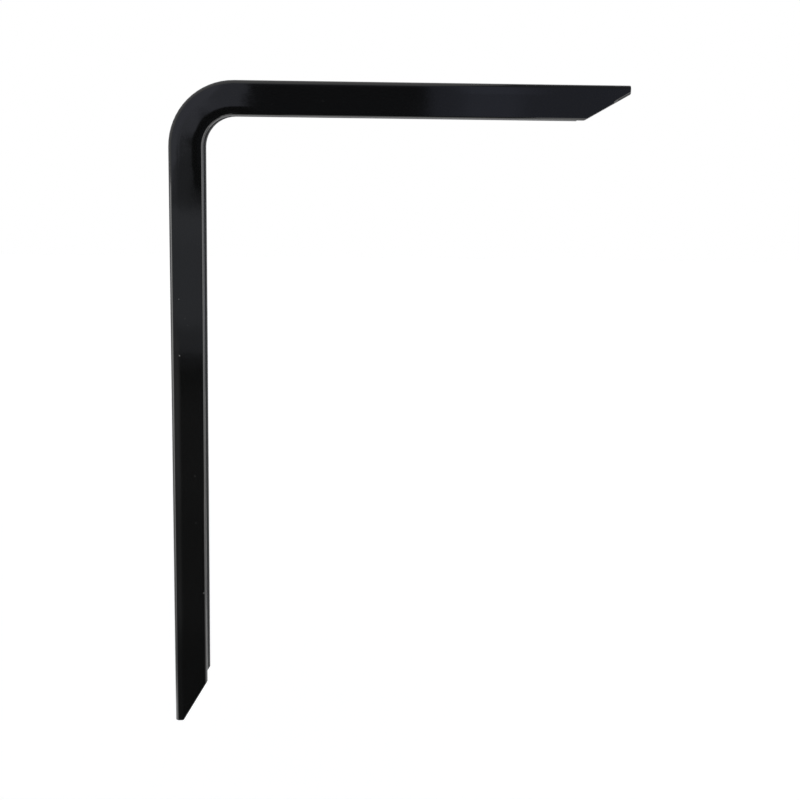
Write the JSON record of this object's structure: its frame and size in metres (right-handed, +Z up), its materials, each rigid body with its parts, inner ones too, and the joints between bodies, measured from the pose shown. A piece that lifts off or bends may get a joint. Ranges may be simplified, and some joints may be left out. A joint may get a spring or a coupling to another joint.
{
  "type": "shelf bracket",
  "caption": "L-shaped shelf bracket pressed from one steel sheet: a U-channel with a rounded corner, tapered arm ends and screw holes in its web, gloss black.",
  "frame": {"origin": "midway between the two wall screw holes, on the wall face of the web", "axes": "+X out from the wall along the shelf arm, +Y across the width, +Z up towards the shelf"},
  "size_m": [0.203, 0.018, 0.3],
  "materials": {
    "coated_steel": "gloss black powder coat"
  },
  "bodies": {
    "root": {"bracket": "coated_steel"}
  },
  "joints": []
}
